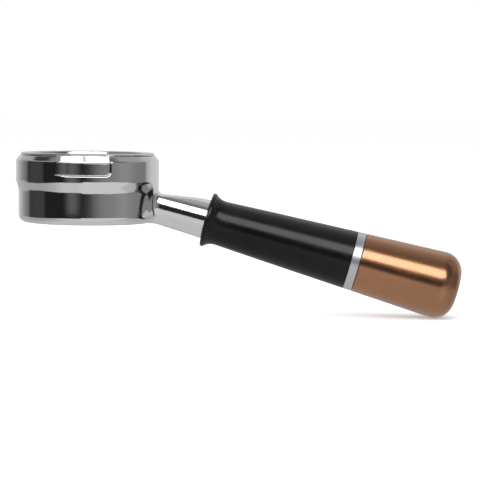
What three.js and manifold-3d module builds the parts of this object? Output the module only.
// Bottomless (naked) portafilter for a 58 mm espresso group.
// A forged filter-holder ring with two bayonet ears and an integral arm carries a lift-out filter
// basket, held by a wire spring. A screwed-on handle (soft black grip with a flared collar, satin
// spacer ring, copper-coloured end cap) hangs from the arm on a threaded stud.
//
// Frame, millimetres: origin at the centre of the basket's floor (upper face), on the ring's axis.
// +Z is up along the ring's axis, +X runs from the ring towards the handle.

import * as THREE from "three";
import { mergeVertices, mergeGeometries } from "three/addons/utils/BufferGeometryUtils.js";
import Module from "manifold-3d";

const wasm = await Module();
wasm.setup();

const radians = THREE.MathUtils.degToRad;

// ---------------------------------------------------------------- shared dimensions
const RING_SEG = 60; // facets round the filter-holder ring
const BASKET_SEG = 48; // facets round the basket
const GRIP_SEG = 36; // facets round the arm and the handle
const SMALL_SEG = 24; // facets round studs, seals and inserts

const BASE_Z = -10.45; // underside of the filter-holder ring

// handle axis; distances s run along it, away from the ring
const TILT = radians(15.0); // the handle slopes down from the ring
const AXIS_X = 63.16; // s = 0
const AXIS_H = 1.98; // height of s = 0 above the ring's base

// M10 x 1.5 screw threads, modelled at their outer diameter
const THREAD_R = 4.9;
const THREAD_CHAMFER = 0.8;
const TAPPED_R = 5.05;
const COUNTERSINK = 0.6;
const ARM_STUD = { from: -11.0, to: 21.7 };
const TAIL_STUD = { from: 60.5, to: 98.35 };

// ---------------------------------------------------------------- materials
const metal = ({ color, roughness }) =>
  new THREE.MeshStandardMaterial({ color, roughness, metalness: 1 });
const polymer = ({ color, roughness }) =>
  new THREE.MeshStandardMaterial({ color, roughness, metalness: 0 });

const CHROME = metal({ color: 0xc9ccd0, roughness: 0.08 });
const STAINLESS = metal({ color: 0xb9bcc0, roughness: 0.28 });
const SPRING_STEEL = metal({ color: 0xa8abb0, roughness: 0.3 });
const ZINC = metal({ color: 0xa9adb3, roughness: 0.38 });
const BRASS = metal({ color: 0xc9a55a, roughness: 0.35 });
const SATIN = metal({ color: 0xc4c7cc, roughness: 0.32 });
const COPPER = metal({ color: 0xb07a52, roughness: 0.3 });
const NYLON = polymer({ color: 0x1b1c1e, roughness: 0.55 });
const SOFT = polymer({ color: 0x141516, roughness: 0.42 });
const SEAL = polymer({ color: 0x0e0e0f, roughness: 0.7 });

// ---------------------------------------------------------------- outlines, as lists of pairs
// Points on an arc between two angles in degrees, both ends included.
const arc = (cx, cy, radius, from, to, steps) =>
  Array.from({ length: steps + 1 }, (_, i) => {
    const angle = radians(from + ((to - from) * i) / steps);
    return [cx + radius * Math.cos(angle), cy + radius * Math.sin(angle)];
  });

// A regular polygon, its first corner at the angle `from`.
const polygon = (cx, cy, radius, sides, from = 0) =>
  arc(cx, cy, radius, from, from + 360 - 360 / sides, sides - 1);

// The [radius, height] section of a plain tube, or of a rod when the inner radius is 0.
const tube = (inner, outer, from, to) => [
  [inner, from],
  [outer, from],
  [outer, to],
  [inner, to],
];

const vectors = (pairs) => pairs.map(([x, y]) => new THREE.Vector2(x, y));

// ---------------------------------------------------------------- geometry
// A closed surface turned about Y from [radius, height] pairs.
// The outline is closed unless it starts and ends on the axis.
function turned(outline, segments) {
  const profile = vectors(outline);
  const onAxis = outline[0][0] === 0 && outline.at(-1)[0] === 0;
  if (!onAxis) profile.push(profile[0].clone());
  return new THREE.LatheGeometry(profile, segments);
}
// The same surface standing on Z, or lying along X.
const turnedZ = (outline, segments) => turned(outline, segments).rotateX(Math.PI / 2);
const turnedX = (outline, segments) => turned(outline, segments).rotateZ(-Math.PI / 2);

const extruded = (shape, depth) =>
  new THREE.ExtrudeGeometry(shape, { depth, bevelEnabled: false });

// A plate with a round hole, square to X, its near face at s.
function piercedPlate(outline, holeRadius, thickness) {
  const shape = new THREE.Shape(vectors(outline));
  shape.holes.push(new THREE.Path(vectors(polygon(0, 0, holeRadius, SMALL_SEG))));
  return extruded(shape, thickness);
}
const standAcrossX = (plate, s) => plate.rotateY(Math.PI / 2).translate(s, 0, 0);

// A slab of a ring between two angles in degrees, standing on Z, with rounded outer corners.
function sector({ inner, outer, from, to, low, high, corner = 0 }) {
  const span = to - from;
  const cornerAngle = THREE.MathUtils.radToDeg(corner / (outer - corner));
  const start = from + cornerAngle;
  const end = to - cornerAngle;
  const rounded = (angle, first, last) => {
    const [[cx, cy]] = arc(0, 0, outer - corner, angle, angle, 1);
    return arc(cx, cy, corner, angle + first, angle + last, 4);
  };
  const inside = arc(0, 0, inner, from, to, Math.ceil(span / 3));
  const outside = arc(0, 0, outer, end, start, Math.ceil(span / 2.5));
  const outline = corner
    ? [...inside, ...rounded(end, 90, 0), ...outside.slice(1, -1), ...rounded(start, 0, -90)]
    : [...inside, ...outside];
  return extruded(new THREE.Shape(vectors(outline)), high - low).translate(0, 0, low);
}

// three.js geometry to a manifold-3d solid, facing out.
function solid(geometry) {
  const loose = geometry.index ? geometry.toNonIndexed() : geometry;
  const bare = new THREE.BufferGeometry().setAttribute("position", loose.getAttribute("position"));
  const merged = mergeVertices(bare, 1e-4);
  const index = merged.index.array;
  const kept = []; // triangles that did not collapse in the merge
  for (let i = 0; i < index.length; i += 3) {
    const [a, b, c] = [index[i], index[i + 1], index[i + 2]];
    if (a !== b && b !== c && a !== c) kept.push(a, b, c);
  }
  const make = () =>
    new wasm.Manifold(
      new wasm.Mesh({
        numProp: 3,
        vertProperties: new Float32Array(merged.attributes.position.array),
        triVerts: new Uint32Array(kept),
      }),
    );
  const made = make();
  if (made.volume() >= 0) return made;
  for (let i = 0; i < kept.length; i += 3) {
    [kept[i + 1], kept[i + 2]] = [kept[i + 2], kept[i + 1]];
  }
  return make();
}

// A manifold-3d solid back to three.js geometry.
function geometryOf(made) {
  const mesh = made.getMesh();
  const stride = mesh.numProp;
  const positions = new Float32Array(mesh.numVert * 3);
  for (let i = 0; i < mesh.numVert; i++) {
    positions.set(mesh.vertProperties.subarray(i * stride, i * stride + 3), i * 3);
  }
  const geometry = new THREE.BufferGeometry()
    .setAttribute("position", new THREE.BufferAttribute(positions, 3))
    .setIndex(new THREE.BufferAttribute(new Uint32Array(mesh.triVerts), 1));
  geometry.computeVertexNormals();
  return geometry;
}

// ---------------------------------------------------------------- filter-holder ring
// Heights in the ring, ear and arm sections are above the ring's base.
const RING_H = 34.9;
const BAND_R = 37.0; // upper band
const BODY_R = 35.65; // lower band
const BORE_R = 30.4;
const BASE_ROUND = 4.2;
const STEP_LOW = 15.85; // the upper band swells out of the lower one between these heights
const STEP_HIGH = 22.85;
const STEP_FACETS = 4;
const CHAMFER_LOW = 32.25;
const TOP_R = 34.9;
const GROOVE_LOW = 26.9; // spring groove
const GROOVE_HIGH = 28.7;
const GROOVE_R = 31.9;

function ringSolid() {
  const step = Array.from({ length: STEP_FACETS + 1 }, (_, i) => {
    const t = i / STEP_FACETS;
    const swell = 0.5 - 0.5 * Math.cos(Math.PI * t);
    return [BODY_R + (BAND_R - BODY_R) * swell, STEP_LOW + (STEP_HIGH - STEP_LOW) * t];
  });
  const outline = [
    [BORE_R + 0.35, 0],
    ...arc(BODY_R - BASE_ROUND, BASE_ROUND, BASE_ROUND, -90, 0, 5),
    ...step,
    [BAND_R, CHAMFER_LOW],
    [TOP_R, RING_H],
    [BORE_R + 0.4, RING_H],
    [BORE_R, RING_H - 0.4],
    [BORE_R, GROOVE_HIGH],
    [GROOVE_R, GROOVE_HIGH],
    [GROOVE_R, GROOVE_LOW],
    [BORE_R, GROOVE_LOW],
    [BORE_R, 0.35],
  ];
  return solid(turnedZ(outline, RING_SEG));
}

// ---------------------------------------------------------------- bayonet ears
// Angles in degrees, counter-clockwise from above, from each ear's direction square to the handle.
const EAR_TURNS = [-90, 90];
const EAR_R = 43.0;
const EAR_ROOT_R = 32.0;
const EAR_LOW = 31.8; // underside at the ear's middle
const EAR_HIGH = 35.7;
const EAR_IN = 35.2; // above the ring's top the ear stays clear of the basket's rim
const EAR_FACE = 1.0; // upright part of the outer face, below its taper
const EAR_TAPER = 1.5;
const EAR_CORNER = 2.4;
const EAR_RAMP = radians(1.4); // the underside falls counter-clockwise
const EAR_FROM = -16.5;
const EAR_TO = 21.7;
const RELIEF_LOW = 24.8; // relief milled under each ear
const RELIEF_HIGH = EAR_LOW + 0.9;
const RELIEF_R = 36.1;
const RELIEF_OUT = RELIEF_R + 2.2;
const RELIEF_FROM = -20.8;
const RELIEF_TO = 25.7;

function addEars(ring) {
  const reliefRing = solid(
    turnedZ(
      [
        [RELIEF_R - 0.25, RELIEF_LOW],
        [RELIEF_OUT, RELIEF_LOW - 1.6],
        [RELIEF_OUT, RELIEF_HIGH],
        [RELIEF_R, RELIEF_HIGH],
      ],
      RING_SEG,
    ),
  );
  const earRing = solid(
    turnedZ(
      [
        [EAR_ROOT_R, EAR_LOW - 1],
        [EAR_R, EAR_LOW - 1],
        [EAR_R, EAR_LOW + EAR_FACE],
        [EAR_R - EAR_TAPER, EAR_HIGH],
        [EAR_IN, EAR_HIGH],
        [EAR_IN, RING_H - 0.3],
        [EAR_ROOT_R, RING_H - 0.3],
      ],
      RING_SEG,
    ),
  );
  let body = ring;
  for (const turn of EAR_TURNS) {
    const reliefSpan = sector({
      inner: 30,
      outer: 40,
      from: turn + RELIEF_FROM,
      to: turn + RELIEF_TO,
      low: 20,
      high: 33,
    });
    const earSpan = sector({
      inner: 33.2,
      outer: EAR_R + 0.5,
      from: turn + EAR_FROM,
      to: turn + EAR_TO,
      low: EAR_LOW - 2,
      high: EAR_HIGH + 1,
      corner: EAR_CORNER,
    });
    // block whose upper face cuts the sloping underside
    const ramp = new THREE.BoxGeometry(60, 60, 6)
      .translate(0, 0, -3)
      .rotateX(-EAR_RAMP)
      .translate(40, 0, EAR_LOW)
      .rotateZ(radians(turn + (EAR_FROM + EAR_TO) / 2));
    body = body
      .subtract(reliefRing.intersect(solid(reliefSpan)))
      .add(earRing.intersect(solid(earSpan)).subtract(solid(ramp)));
  }
  return body;
}

// ---------------------------------------------------------------- web and arm
const WEB_LOW = 12.5;
const WEB_HIGH = STEP_HIGH + 0.5;
const WEB_IN = 33.0;
const WEB_HALF = 15.0; // degrees either side of the handle

const ARM_R_ROOT = 9.41; // the taper is set by two radii, ARM_TAPER_RUN apart
const ARM_R_END = 10.31;
const ARM_TAPER_RUN = 26.2;
const ARM_TAPER_TO = -1.9; // s from which the taper is reckoned back to the root
const ARM_ROOT = -38.0;
const ARM_SHOULDER = -0.8;
const ARM_END = 4.0;
const SPIGOT_R = 9.2;
const SPIGOT_CHAMFER = 0.5;
const SEAL_GROOVE = { from: 0.6, to: 2.4, radius: SPIGOT_R - 1.4 };
const FLAT_X = 38.0; // the flat on top of the arm passes through here
const FLAT_H = 14.98;
const FLAT_SLOPE = radians(4.66);

const onHandleAxis = (geometry) => geometry.rotateY(TILT).translate(AXIS_X, 0, AXIS_H);

// Carries the upper band down on to the arm.
function webSolid() {
  const band = solid(turnedZ(tube(WEB_IN, BAND_R, WEB_LOW, WEB_HIGH), RING_SEG));
  const span = { inner: 32, outer: 38.5, from: -WEB_HALF, to: WEB_HALF, low: 10, high: 24 };
  return band.intersect(solid(sector(span)));
}

// A slightly tapered round bar along the handle axis, with a flat on top.
function armSolid() {
  const slope = (ARM_R_END - ARM_R_ROOT) / ARM_TAPER_RUN;
  const outline = [
    [0, ARM_ROOT],
    [ARM_R_END + slope * (ARM_ROOT - ARM_TAPER_TO), ARM_ROOT],
    [ARM_R_END, ARM_SHOULDER],
    [SPIGOT_R, ARM_SHOULDER],
    [SPIGOT_R, SEAL_GROOVE.from],
    [SEAL_GROOVE.radius, SEAL_GROOVE.from],
    [SEAL_GROOVE.radius, SEAL_GROOVE.to],
    [SPIGOT_R, SEAL_GROOVE.to],
    [SPIGOT_R, ARM_END - SPIGOT_CHAMFER],
    [SPIGOT_R - SPIGOT_CHAMFER, ARM_END],
    [0, ARM_END],
  ];
  const aboveFlat = new THREE.BoxGeometry(60, 40, 20)
    .translate(0, 0, 10)
    .rotateY(FLAT_SLOPE)
    .translate(FLAT_X, 0, FLAT_H);
  // near the ring the arm stays above the plane of the base
  const belowBase = new THREE.BoxGeometry(20, 40, 10).translate(24.2, 0, -5);
  return solid(onHandleAxis(turnedX(outline, GRIP_SEG)))
    .subtract(solid(aboveFlat))
    .subtract(solid(belowBase));
}

function filterHolderBody() {
  // the bore again, where the arm's root fills it
  const bore = turnedZ(tube(0, BORE_R, -3, 25), RING_SEG);
  const tappedHole = turnedX(tube(0, TAPPED_R, ARM_STUD.from - 1, ARM_END + 1), SMALL_SEG);
  const body = addEars(ringSolid())
    .add(webSolid())
    .add(armSolid())
    .subtract(solid(bore))
    .subtract(solid(onHandleAxis(tappedHole)));
  return geometryOf(body.translate([0, 0, BASE_Z]));
}

// ---------------------------------------------------------------- basket spring
// An open wire ring with three inward lobes, in the ring's groove.
const SPRING_R = 30.68; // mean radius
const SPRING_WAVE = 0.56;
const SPRING_WIRE_R = 0.55;
const SPRING_GAP = 14; // degrees
const SPRING_GAP_AT = 90;
const SPRING_POINTS = 54;

function basketSpring() {
  const path = [];
  for (let i = 0; i <= SPRING_POINTS; i++) {
    const turn = SPRING_GAP / 2 + ((360 - SPRING_GAP) * i) / SPRING_POINTS;
    const angle = radians(SPRING_GAP_AT + turn);
    const radius = SPRING_R + SPRING_WAVE * Math.cos(3 * radians(turn));
    path.push(new THREE.Vector3(radius * Math.cos(angle), radius * Math.sin(angle), 0));
  }
  const section = new THREE.Shape(vectors(polygon(0, 0, SPRING_WIRE_R, 6)));
  const wire = new THREE.ExtrudeGeometry(section, {
    extrudePath: new THREE.CatmullRomCurve3(path),
    steps: 64,
    bevelEnabled: false,
  }).translate(0, 0, BASE_Z + (GROOVE_LOW + GROOVE_HIGH) / 2);
  return geometryOf(solid(wire));
}

// ---------------------------------------------------------------- filter basket
const SHEET = 0.7; // thickness of the floor and the lower wall
const FLOOR_R = 25.2; // flat part of the floor
const HEEL_ROUND = 2.5; // inside rounding between floor and wall
const WALL_R = 27.75; // inside, at the foot of the wall
const WALL_LOW = 4.5;
const RIM_R = 35.0;
const RIM_TOP = 25.85;
const RIM_UNDER = 24.5;
const HOLE_R = 0.45;
const HOLE_PITCH = 6.6;
const HOLE_RINGS = 3;

// Holes on a hexagonal grid, with none at the centre.
function basketHoles() {
  const holes = [];
  for (let q = -HOLE_RINGS; q <= HOLE_RINGS; q++) {
    for (let r = -HOLE_RINGS; r <= HOLE_RINGS; r++) {
      if (Math.abs(q + r) > HOLE_RINGS || (q === 0 && r === 0)) continue;
      const x = HOLE_PITCH * (q + r / 2);
      const y = (HOLE_PITCH * r * Math.sqrt(3)) / 2;
      const hole = new THREE.CylinderGeometry(HOLE_R, HOLE_R, 3, 6);
      holes.push(hole.rotateX(Math.PI / 2).translate(x, y, -SHEET / 2));
    }
  }
  return mergeGeometries(holes);
}

function filterBasket() {
  const outline = [
    [0, -SHEET],
    [FLOOR_R, -SHEET],
    ...arc(FLOOR_R, HEEL_ROUND, HEEL_ROUND + SHEET, -65, -15, 2),
    [WALL_R + SHEET, WALL_LOW],
    [29.9, 23.0],
    [30.5, RIM_UNDER],
    [34.6, RIM_UNDER],
    [RIM_R, RIM_UNDER + 0.35],
    [RIM_R, RIM_TOP - 0.35],
    [34.65, RIM_TOP],
    [30.4, RIM_TOP],
    [29.6, RIM_TOP - 0.35],
    [29.2, RIM_TOP - 1.3],
    [WALL_R, WALL_LOW],
    ...arc(FLOOR_R, HEEL_ROUND, HEEL_ROUND, -10, -70, 2),
    [FLOOR_R, 0],
    [0, 0],
  ];
  return geometryOf(solid(turnedZ(outline, BASKET_SEG)).subtract(solid(basketHoles())));
}

// ---------------------------------------------------------------- studs, seals, wave washer
// From here on, outlines are [radius, s] pairs about the handle's axis.
function stud({ from, to }) {
  const outline = [
    [0, from],
    [THREAD_R - THREAD_CHAMFER, from],
    [THREAD_R, from + THREAD_CHAMFER],
    [THREAD_R, to - THREAD_CHAMFER],
    [THREAD_R - THREAD_CHAMFER, to],
    [0, to],
  ];
  return turnedX(outline, SMALL_SEG);
}

const oRing = ({ radius, s, thickness }) =>
  turnedX(polygon(radius, s, thickness / 2, 8), SMALL_SEG);

// Sits between arm and handle, with three waves round it.
function waveWasher() {
  const plate = piercedPlate(polygon(0, 0, 7.8, SMALL_SEG), 5.3, 0.5);
  const points = plate.attributes.position;
  for (let i = 0; i < points.count; i++) {
    const wave = 0.2 * Math.cos(3 * Math.atan2(points.getY(i), points.getX(i)));
    points.setZ(i, points.getZ(i) + wave);
  }
  return geometryOf(solid(standAcrossX(plate, 4.35)));
}

// ---------------------------------------------------------------- grip and its inserts
const coneRadius = (s) => 11.144 + 0.04954 * s; // outside of the handle
const SKIN = 1.9; // thickness of the soft sleeve
const GRIP_END = 77.15;
const CORE_FROM = 4.9;
const CORE_TO = 76.35;
const CORE_GAP = 0.1; // between core and sleeve
const MOUTH_R = coneRadius(6.2) - SKIN - 0.25; // sleeve's inside at the core's front end
const INSERT_GAP = 0.2; // between inserts and core
const FRONT_INSERT = { from: 5.2, to: 25.0, radius: 6.9, flangeTo: 7.7, flangeR: 7.8 };
const TAIL_INSERT = { from: 57.4, to: 76.25, radius: 7.5 };
const FRONT_WAIST = 12.5; // s where each insert's waist begins
const TAIL_WAIST = 63.0;
const WAIST_LENGTH = 3.0;

// A shallow waist with sloping ends.
const waist = (radius, from, length) => [
  [radius, from],
  [radius - 0.7, from + 0.5],
  [radius - 0.7, from + length - 0.5],
  [radius, from + length],
];

function frontInsert() {
  const { from, to, radius, flangeTo, flangeR } = FRONT_INSERT;
  const outline = [
    [TAPPED_R + COUNTERSINK, from],
    [flangeR, from],
    [flangeR, flangeTo],
    [radius, flangeTo],
    ...waist(radius, FRONT_WAIST, WAIST_LENGTH),
    [radius, to - 0.5],
    [radius - 0.5, to],
    [TAPPED_R, to],
    [TAPPED_R, from + COUNTERSINK],
  ];
  return turnedX(outline, SMALL_SEG);
}

function gripCore() {
  const coreRadius = (s) => coneRadius(s) - SKIN - CORE_GAP;
  const tailR = TAIL_INSERT.radius + INSERT_GAP;
  const tailFrom = TAIL_INSERT.from - INSERT_GAP;
  const frontR = FRONT_INSERT.radius + INSERT_GAP;
  const frontTo = FRONT_INSERT.to + INSERT_GAP;
  const flangeR = FRONT_INSERT.flangeR + 0.3;
  const flangeTo = FRONT_INSERT.flangeTo + 0.15;
  const outline = [
    [flangeR, CORE_FROM],
    [MOUTH_R - CORE_GAP, CORE_FROM],
    [coreRadius(9), 9],
    [coreRadius(CORE_TO), CORE_TO],
    [tailR, CORE_TO],
    [tailR, tailFrom],
    [5.6, tailFrom],
    [5.6, frontTo],
    [frontR, frontTo],
    ...waist(frontR, FRONT_WAIST - 0.1, WAIST_LENGTH + 0.2).reverse(),
    [frontR, flangeTo],
    [flangeR, flangeTo],
  ];
  return turnedX(outline, GRIP_SEG);
}

function gripSleeve() {
  const outline = [
    // flared collar and the neck behind it
    [9.4, -0.45], [12.9, -0.45], [13.6, -0.25], [13.96, 0.1], [13.8, 0.55], [13.1, 1.4],
    [12.36, 2.62], [11.87, 3.67], [11.42, 5.0], [11.25, 6.3], [11.42, 9.2],
    // cone
    [coneRadius(20) - 0.12, 20],
    [coneRadius(32), 32],
    [coneRadius(GRIP_END), GRIP_END],
    // inside
    [coneRadius(GRIP_END) - SKIN, GRIP_END],
    [coneRadius(9) - SKIN, 9],
    [MOUTH_R, CORE_FROM - 0.1],
    [9.4, CORE_FROM - 0.1],
  ];
  return turnedX(outline, GRIP_SEG);
}

function tailInsert() {
  const { from, to, radius } = TAIL_INSERT;
  const tappedFrom = 59.5;
  const outline = [
    [0, from],
    [radius - 0.5, from],
    [radius, from + 0.5],
    ...waist(radius, TAIL_WAIST, WAIST_LENGTH),
    [radius, to],
    [TAPPED_R + COUNTERSINK, to],
    [TAPPED_R, to - COUNTERSINK],
    [TAPPED_R, tappedFrom],
    [0, tappedFrom],
  ];
  return turnedX(outline, SMALL_SEG);
}

// ---------------------------------------------------------------- tail lock washer and nut
const LOCK_WASHER = { from: 76.45, to: 77.35, inner: 5.3, outer: 9.0 };

const tailLockWasher = () =>
  turnedX(
    tube(LOCK_WASHER.inner, LOCK_WASHER.outer, LOCK_WASHER.from, LOCK_WASHER.to),
    SMALL_SEG,
  );

// A hexagon nut with its corners turned down.
function tailLockNut() {
  const from = LOCK_WASHER.to;
  const to = from + 5.2;
  const hexagon = standAcrossX(piercedPlate(polygon(0, 0, 9.75, 6, 30), TAPPED_R, 5), from + 0.1);
  const envelope = turnedX(
    [[0, from], [9.0, from], [9.9, from + 0.6], [9.9, to - 0.6], [9.0, to], [0, to]],
    SMALL_SEG,
  );
  return geometryOf(solid(hexagon).intersect(solid(envelope)));
}

// ---------------------------------------------------------------- spacer ring
const RING_FROM = 77.2;
const RING_TO = 81.55;
const RING_IN = 10.3;
const LIP_FROM = 76.5; // the ring's inner lips reach into the grip
const GRIP_SEAL_IN = 10.8; // groove for the grip's O-ring
const GRIP_SEAL_OUT = 12.0;

function spacerRing() {
  const outline = [
    [RING_IN, LIP_FROM],
    [GRIP_SEAL_IN, LIP_FROM],
    [GRIP_SEAL_IN, LIP_FROM + 0.9],
    [GRIP_SEAL_OUT, LIP_FROM + 0.9],
    [GRIP_SEAL_OUT, LIP_FROM],
    [12.7, LIP_FROM],
    [12.7, RING_FROM],
    [coneRadius(RING_FROM) - 0.15, RING_FROM],
    [coneRadius(RING_FROM), RING_FROM + 0.15],
    [coneRadius(RING_TO), RING_TO - 0.15],
    [coneRadius(RING_TO) - 0.15, RING_TO],
    // groove for the cap's O-ring
    [14.15, RING_TO],
    [14.1, RING_TO - 0.9],
    [12.75, RING_TO - 0.9],
    [12.75, RING_TO],
    [RING_IN, RING_TO],
  ];
  return turnedX(outline, GRIP_SEG);
}

// ---------------------------------------------------------------- end cap and its weight
const CAP_FROM = 81.85;
const CAP_END = 135.28;
const CAP_CORNER = 10.3;
const CAP_CORNER_S = 124.63; // centre of the corner's arc
const CAP_BORE_R = 11.5;
const CAP_BORE_TO = 117.0;
const WEIGHT_R = CAP_BORE_R - 0.3;
const WEIGHT_FROM = 83.35;
const WEIGHT_TO = 112.5;
const WEIGHT_TAPPED_TO = 100.25;

// The handle's cone, a large corner radius and a shallow domed end.
function endCap() {
  const cornerR = coneRadius(CAP_CORNER_S) - CAP_CORNER;
  const outline = [
    [0, CAP_BORE_TO + 1.6],
    [CAP_BORE_R - 3, CAP_BORE_TO],
    [CAP_BORE_R, CAP_BORE_TO],
    [CAP_BORE_R, CAP_FROM],
    [coneRadius(CAP_FROM) - 0.2, CAP_FROM],
    [coneRadius(CAP_FROM + 0.2), CAP_FROM + 0.2],
    ...arc(cornerR, CAP_CORNER_S, CAP_CORNER, -2.8, 84, 8),
    [4.2, CAP_END - 0.1],
    [0, CAP_END],
  ];
  return turnedX(outline, GRIP_SEG);
}

function capWeight() {
  const outline = [
    [0, WEIGHT_TAPPED_TO],
    [TAPPED_R, WEIGHT_TAPPED_TO - 2],
    [TAPPED_R, WEIGHT_FROM + COUNTERSINK],
    [TAPPED_R + COUNTERSINK, WEIGHT_FROM],
    [WEIGHT_R - 0.9, WEIGHT_FROM],
    [WEIGHT_R, WEIGHT_FROM + 0.9],
    [WEIGHT_R, WEIGHT_TO - 0.8],
    [WEIGHT_R - 0.8, WEIGHT_TO],
    [0, WEIGHT_TO],
  ];
  return turnedX(outline, GRIP_SEG);
}

// ---------------------------------------------------------------- assembly
const ARM_SEAL = {
  radius: 8.58,
  s: (SEAL_GROOVE.from + SEAL_GROOVE.to) / 2,
  thickness: 1.36,
};
const GRIP_SEAL = { radius: (GRIP_SEAL_IN + GRIP_SEAL_OUT) / 2, s: 76.87, thickness: 0.9 };
const CAP_SEAL = { radius: 13.45, s: 81.2, thickness: 1.0 };

const root = new THREE.Group();
const handleFrame = new THREE.Group(); // its X axis is the handle's axis, s = 0 at its origin
handleFrame.position.set(AXIS_X, 0, BASE_Z + AXIS_H);
handleFrame.rotation.y = TILT;
root.add(handleFrame);

function part(parent, name, geometry, material) {
  const mesh = new THREE.Mesh(geometry, material);
  mesh.name = name;
  parent.add(mesh);
}

part(root, "filter_holder_body", filterHolderBody(), CHROME);
part(root, "basket_spring", basketSpring(), SPRING_STEEL);
part(root, "filter_basket", filterBasket(), STAINLESS);

part(handleFrame, "arm_stud", stud(ARM_STUD), ZINC);
part(handleFrame, "arm_o_ring", oRing(ARM_SEAL), SEAL);
part(handleFrame, "wave_washer", waveWasher(), SPRING_STEEL);
part(handleFrame, "front_insert", frontInsert(), BRASS);
part(handleFrame, "grip_core", gripCore(), NYLON);
part(handleFrame, "grip_sleeve", gripSleeve(), SOFT);
part(handleFrame, "tail_insert", tailInsert(), BRASS);
part(handleFrame, "tail_stud", stud(TAIL_STUD), ZINC);
part(handleFrame, "tail_lock_washer", tailLockWasher(), ZINC);
part(handleFrame, "tail_lock_nut", tailLockNut(), ZINC);
part(handleFrame, "spacer_ring", spacerRing(), SATIN);
part(handleFrame, "grip_o_ring", oRing(GRIP_SEAL), SEAL);
part(handleFrame, "cap_o_ring", oRing(CAP_SEAL), SEAL);
part(handleFrame, "end_cap", endCap(), COPPER);
part(handleFrame, "cap_weight", capWeight(), ZINC);

export default root;
